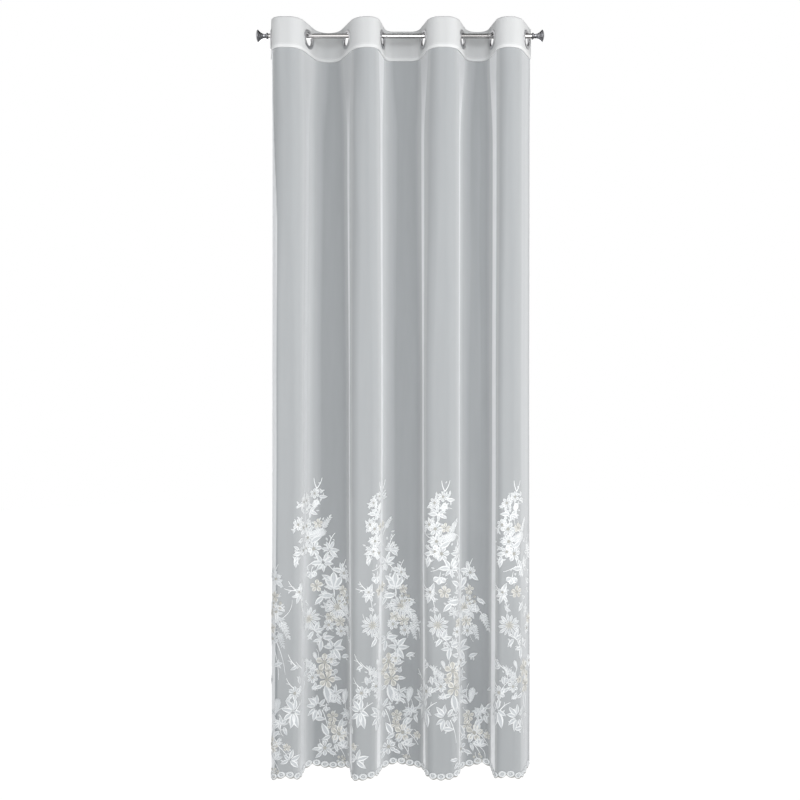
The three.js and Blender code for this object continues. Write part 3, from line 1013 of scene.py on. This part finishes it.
def crest_windows(drop):
    """The stretches of cloth that face the room at a drop, as pairs of distances along."""
    row = int(round(drop / GRID_DROP))
    towards = np.array([0.0, -CAMERA_DISTANCE / MM]) - CHART_PLACES[row, :, :2]
    towards /= np.linalg.norm(towards, axis=1, keepdims=True)
    facing = (CHART_NORMALS[row, :, :2] * towards).sum(1) > FACING_SHARE
    edges = np.flatnonzero(np.diff(facing.astype(int)))
    marks = [0, *(edges + 1), len(facing)]
    spans = [(a, b) for a, b in zip(marks, marks[1:]) if facing[a] and b - a > NARROWEST_WINDOW]
    return [(a * GRID_ALONG, (b - 1) * GRID_ALONG) for a, b in spans]


def spots_at(x, drop, reach):
    """Where along the cloth a thing hangs that is seen at a place across: on the nearest stretch that faces
    the room, and on the next one too where the motif reaches over the flank between them."""
    places = CHART_PLACES[int(round(drop / GRID_DROP)), :, 0]
    found = []
    for start, end in crest_windows(drop):
        i, j = int(start / GRID_ALONG), int(end / GRID_ALONG)
        k = i + int(np.argmin(np.abs(places[i:j + 1] - x)))
        found.append((abs(places[k] - x), k * GRID_ALONG))
    found.sort()
    return [along for miss, along in found[:2] if miss == found[0][0] or miss < reach]


def small_leaves(white, kind, at, size, turn, dice):
    """One to three small leaves that grow beside a motif."""
    if kind in ("stem", "fork", "twig"):
        start, reach, count = point_from(at, turn, size * 0.6), 0.12, 1
    elif kind == "leaf":
        start, reach, count = point_from(at, turn, size * 0.4), 0.2, 2
    else:
        start, reach, count = at, 0.6, 3
        white.strand(at, dice.uniform(0, 360), size * 1.2 + 5, 1.8, dice.choice((-75, 75)), tone=0.95)
    if at[1] > FEWER_LEAVES_DROP:
        count -= 1
    for _ in range(count):
        out = dice.uniform(0, 360)
        spot = point_from(start, out, size * reach)
        white.leaf(spot, out + dice.uniform(-50, 50), dice.uniform(8, 14), 0.42, dice.uniform(-25, 25),
                   dice.uniform(0.7, 1))


def embroidery():
    rows = spray_rows()
    for n, spray in enumerate(SPRAYS):
        white, cream = Motifs(), Motifs()
        dice = random.Random(SEED + n)
        for kind, right, down, size, turn in rows:
            if spray["foot"] and down > FOOT_HIDDEN and right < -20:
                continue
            if down > FOOT_MOVES and right > -1:
                right += spray["foot"]
            width = lerp(spray["upper"], 1.0, ramp(down, *WIDENING))
            x, drop = spray["tip"] + right * width * CHART_STEP, CHART_TOP + down * CHART_STEP
            if abs(x) < OUTERMOST:
                size *= CHART_STEP * (1 + width) / 2
                for along in spots_at(x, drop, min(OVERLAP_SHARE * size, OVERLAP)):
                    DRAW[kind](white, cream, (along, drop), size, turn, dice)
                    small_leaves(white, kind, (along, drop), size, turn, dice)
        if n == 0:
            for x, drop, length, turn in EDGE_STEMS:
                white.strand((spots_at(x, drop, 0)[0], drop), turn, length, 2.6, 22, tone=0.8)
        white.clip_to_cloth()
        cream.clip_to_cloth()
        # Each spray's shade darkens all its thread: painted shade on the leftmost spray
        white.piece(f"embroidery_white_{n + 1}", WHITE_THREAD, "thread", spray["shade"])
        cream.piece(f"embroidery_cream_{n + 1}", CREAM_THREAD, "thread_cream", spray["shade"])


# Scalloped foot: an oval in each lobe, and a cord along the cut edge

CORD_POINTS = 1601
CORD_SIDES = 8
CORD_RADIUS = 1.7


def hem_ovals():
    parts = Motifs()
    lobes = SCALLOPS * LOBES_PER_SCALLOP
    for k in range(lobes):
        along = (k + 0.5) * FLAT_WIDTH / lobes
        centre = (along, float(hem_drop(np.array(along))) - 12.5)
        parts.disc(centre, 10.2, 1.9, hollow=True, tone=0.78, stretch=1.3, sides=22)
        parts.disc(centre, 3.2, 1.5, tone=0.8, stretch=1.35)
    parts.piece("hem_ovals", WHITE_THREAD, "thread")


def hem_cord():
    """A round corded edge that follows every lobe."""
    along = np.linspace(0.8, FLAT_WIDTH - 0.8, CORD_POINTS)
    drop = hem_drop(along) - 1.2
    turn = np.linspace(0, math.tau, CORD_SIDES, endpoint=False)
    slope = np.gradient(drop, along)
    scale = 1 / np.hypot(1, slope)
    out = CORD_RADIUS * np.cos(turn)[None, :]
    a = along[:, None] - (slope * scale)[:, None] * out
    d = drop[:, None] + scale[:, None] * out
    lift = np.broadcast_to(VOILE_LIFT + CORD_RADIUS * 0.9 * np.sin(turn), a.shape)
    vertices = on_cloth(a, d, lift).reshape(-1, 3)
    uv = np.stack(np.broadcast_arrays(along[:, None] * MM, turn * CORD_RADIUS * MM), -1).reshape(-1, 2)
    faces = net_faces(CORD_POINTS, CORD_SIDES, closed=True)
    make_piece("hem_cord", vertices, faces, CORD_THREAD, uv, np.full(len(vertices), 0.5))


# Metalwork

def lathe(name, outline, axis_point, axis, material, sides=72):
    """A turned shape. The outline gives a radius and a distance along the axis, in millimetres."""
    axis = Vector(axis).normalized()
    across = axis.orthogonal().normalized()
    other = axis.cross(across)
    origin = Vector(axis_point)
    vertices, faces = [], []
    rows = len(outline)
    for k in range(sides):
        turn = math.tau * k / sides
        spoke = across * math.cos(turn) + other * math.sin(turn)
        vertices += [(origin + spoke * r + axis * a) * MM for r, a in outline]
    for k in range(sides):
        here, nxt = k * rows, ((k + 1) % sides) * rows
        faces += [(here + i, here + i + 1, nxt + i + 1, nxt + i) for i in range(rows - 1)]
    return make_piece(name, vertices, faces, material)


def rounded(points, steps=5):
    """An outline whose given points become a smooth curve through their spans' middles."""
    points = [np.array(p, float) for p in points]
    curve = [points[0]]
    for before, corner, after in zip(points, points[1:], points[2:]):
        start, end = (before + corner) / 2, (corner + after) / 2
        for t in np.linspace(0, 1, steps):
            curve.append((1 - t) ** 2 * start + 2 * t * (1 - t) * corner + t * t * end)
    curve.append(points[-1])
    return [tuple(p) for p in curve]


# Half of a ring's section, from its collar over its front to its bore: radius and distance along the axis
EYELET_SECTION = (
    (22.0, 1.55), (EYELET_RADIUS, 1.6), (EYELET_RADIUS + 0.1, 2.9), (28.6, 4.2), (25.0, 4.6), (22.0, 4.2),
    (EYELET_BORE, 2.6), (EYELET_BORE, 0.0),
)


def eyelet_rings():
    front = rounded(EYELET_SECTION)
    outline = front + [(r, -a) for r, a in reversed(front[:-1])] + [front[0]]
    for i, along in enumerate(EYELETS_ALONG):
        place = on_cloth(np.array([along]), np.array([EYELET_DROP]), np.array([0.0]))[0] / MM
        normal = CHART_NORMALS[EYELET_ROW, int(round(along / GRID_ALONG))]
        axis = (normal[0], normal[1], 0.0)
        ring = lathe(f"eyelet_ring_{i + 1}", outline, place, axis, NICKEL)
        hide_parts(f"eyelet_{i + 1}")


def rod_tube():
    inner, bevel = 7.0, 0.4
    half = [(inner, ROD_END), (ROD_RADIUS - bevel, ROD_END), (ROD_RADIUS, ROD_END - bevel)]
    outline = [(r, -a) for r, a in half] + half[::-1] + [(inner, -ROD_END)]
    piece = lathe("rod_tube", outline, (0, 0, 0), (1, 0, 0), STEEL, 96)
    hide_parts("rod")


# A finial from the end of its plug in the rod to its outer face: radius and distance from the rod's end
FINIAL = (
    (0.0, -22.0), (6.4, -22.0), (6.6, 0.35), (9.6, 0.35), (10.5, 1.6), (10.5, 4.0), (9.4, 5.6), (7.2, 7.0),
    (6.7, 10.5), (7.4, 15.5), (9.6, 21.5), (13.6, 27.0), (18.6, 31.6), (20.1, 33.2), (19.4, 35.2),
    (15.5, 37.8), (9.0, 40.2), (3.0, 41.0), (0.0, 41.0),
)


def finials():
    outline = [FINIAL[0], FINIAL[1], *rounded(FINIAL[2:])]
    for name, side in (("finial_left", -1), ("finial_right", 1)):
        place, axis = (side * ROD_END, 0, 0), (side, 0, 0)
        piece = lathe(f"{name}_turned", outline, place, axis, CHROME, 96)
        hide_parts(name)


# Camera, light and surroundings

CAMERA_HEIGHT = -1.2147
LENS = 36.39
LIT_POINT = (0, 0, -1.2)
# Name, place, size, power and colour
LIGHTS = (
    ("key", (3.2, -2.3, -0.2), (1.4, 3.0), 55, (1.0, 0.99, 0.97)),
    ("rear", (-0.6, 4.2, -0.5), (2.4, 3.0), 100, (0.97, 0.985, 1.0)),
    ("front", (0.4, -4.5, -0.6), (2.0, 3.0), 110, (0.96, 0.98, 1.0)),
)
FLOOR_HEIGHT = -2.62
FLOOR_RADIUS = 9.0
# What the metal mirrors, from straight down to straight up, with a pale band at eye level: height, grey
MIRRORED = ((0.0, 0.18), (0.14, 0.2), (0.27, 0.8), (0.5, 1.0), (0.74, 0.95), (0.84, 0.07), (1.0, 0.07))
# How strong it is on the left and on the right, between these two sideways directions
MIRRORED_STRENGTHS = (1.6, 0.85)
MIRRORED_SIDES = (-0.09, 0.1)


def camera():
    data = bpy.data.cameras.new("camera")
    data.lens = LENS
    data.sensor_width = 36.0
    data.clip_end = 60.0
    eye = bpy.data.objects.new("camera", data)
    eye.location = (0.0, -CAMERA_DISTANCE, CAMERA_HEIGHT)
    eye.rotation_euler = (math.radians(90), 0, 0)
    bpy.context.scene.collection.objects.link(eye)
    bpy.context.scene.camera = eye


def area_light(name, place, size, power, colour):
    data = bpy.data.lights.new(name, "AREA")
    data.shape = "RECTANGLE"
    data.size, data.size_y = size
    data.energy = power
    data.color = colour
    lamp = bpy.data.objects.new(name, data)
    lamp.location = place
    lamp.rotation_euler = (Vector(LIT_POINT) - Vector(place)).to_track_quat("-Z", "Y").to_euler()
    bpy.context.scene.collection.objects.link(lamp)


def mirrored_room(tree):
    """The colour of the mirrored room, and its strength, which falls from left to right."""
    place = add_node(tree, "TexCoord").outputs["Generated"]
    split = add_node(tree, "SeparateXYZ", {0: place})
    height = add_node(tree, "MapRange", {"Value": split.outputs["Z"], "From Min": -1.0})
    bands = add_node(tree, "ValToRGB", {"Fac": height.outputs["Result"]})
    while len(bands.color_ramp.elements) < len(MIRRORED):
        bands.color_ramp.elements.new(0.5)
    for element, (position, grey) in zip(bands.color_ramp.elements, MIRRORED):
        element.position = position
        element.color = (grey, grey, grey, 1.0)
    strength = add_node(tree, "MapRange", {
        "Value": split.outputs["X"], "From Min": MIRRORED_SIDES[0], "From Max": MIRRORED_SIDES[1],
        "To Min": MIRRORED_STRENGTHS[0], "To Max": MIRRORED_STRENGTHS[1],
    })
    return bands.outputs["Color"], strength.outputs["Result"]


def surroundings():
    """White to the camera, a soft even light on the cloth, and bands of grey in the metal."""
    world = bpy.data.worlds.new("studio")
    world.use_nodes = True
    tree = world.node_tree
    light = tree.nodes["Background"]
    set_inputs(tree, light, {"Color": (0.97, 0.985, 1.0, 1.0), "Strength": 0.3})
    colour, strength = mirrored_room(tree)
    mirrored = add_node(tree, "Background", {"Color": colour, "Strength": strength})
    seen = add_node(tree, "Background", {"Color": (1.0, 1.0, 1.0, 1.0)})
    path = add_node(tree, "LightPath").outputs
    shiny, mix = (tree.nodes.new("ShaderNodeMixShader") for _ in range(2))
    set_inputs(tree, shiny, {0: path["Is Glossy Ray"], 1: light.outputs[0], 2: mirrored.outputs[0]})
    set_inputs(tree, mix, {0: path["Is Camera Ray"], 1: shiny.outputs[0], 2: seen.outputs[0]})
    set_inputs(tree, tree.nodes["World Output"], {"Surface": mix.outputs[0]})
    bpy.context.scene.world = world


def floor():
    """A pale floor, lit mostly from within so that it stays even."""
    place = (0, 0, FLOOR_HEIGHT)
    bpy.ops.mesh.primitive_circle_add(vertices=96, radius=FLOOR_RADIUS, fill_type="NGON", location=place)
    disc = bpy.context.object
    disc.name = "floor"
    material, tree, shader = new_material("pale_floor")
    set_inputs(tree, shader, {
        "Base Color": (0.04, 0.04, 0.04, 1.0), "Roughness": 0.9, "Emission Color": (1, 1, 1, 1),
        "Emission Strength": 0.97,
    })
    disc.data.materials.append(material)
    disc.visible_glossy = False


camera()
surroundings()
floor()
for light in LIGHTS:
    area_light(*light)

eyelet_rings()
heading_cloth()
voile_panel()
side_hem("side_hem_left", SIDE_HEM_INSET)
side_hem("side_hem_right", FLAT_WIDTH - SIDE_HEM - SIDE_HEM_INSET)
stitches()
embroidery()
hem_ovals()
hem_cord()
rod_tube()
finials()

bpy.context.scene.view_settings.view_transform = "Standard"
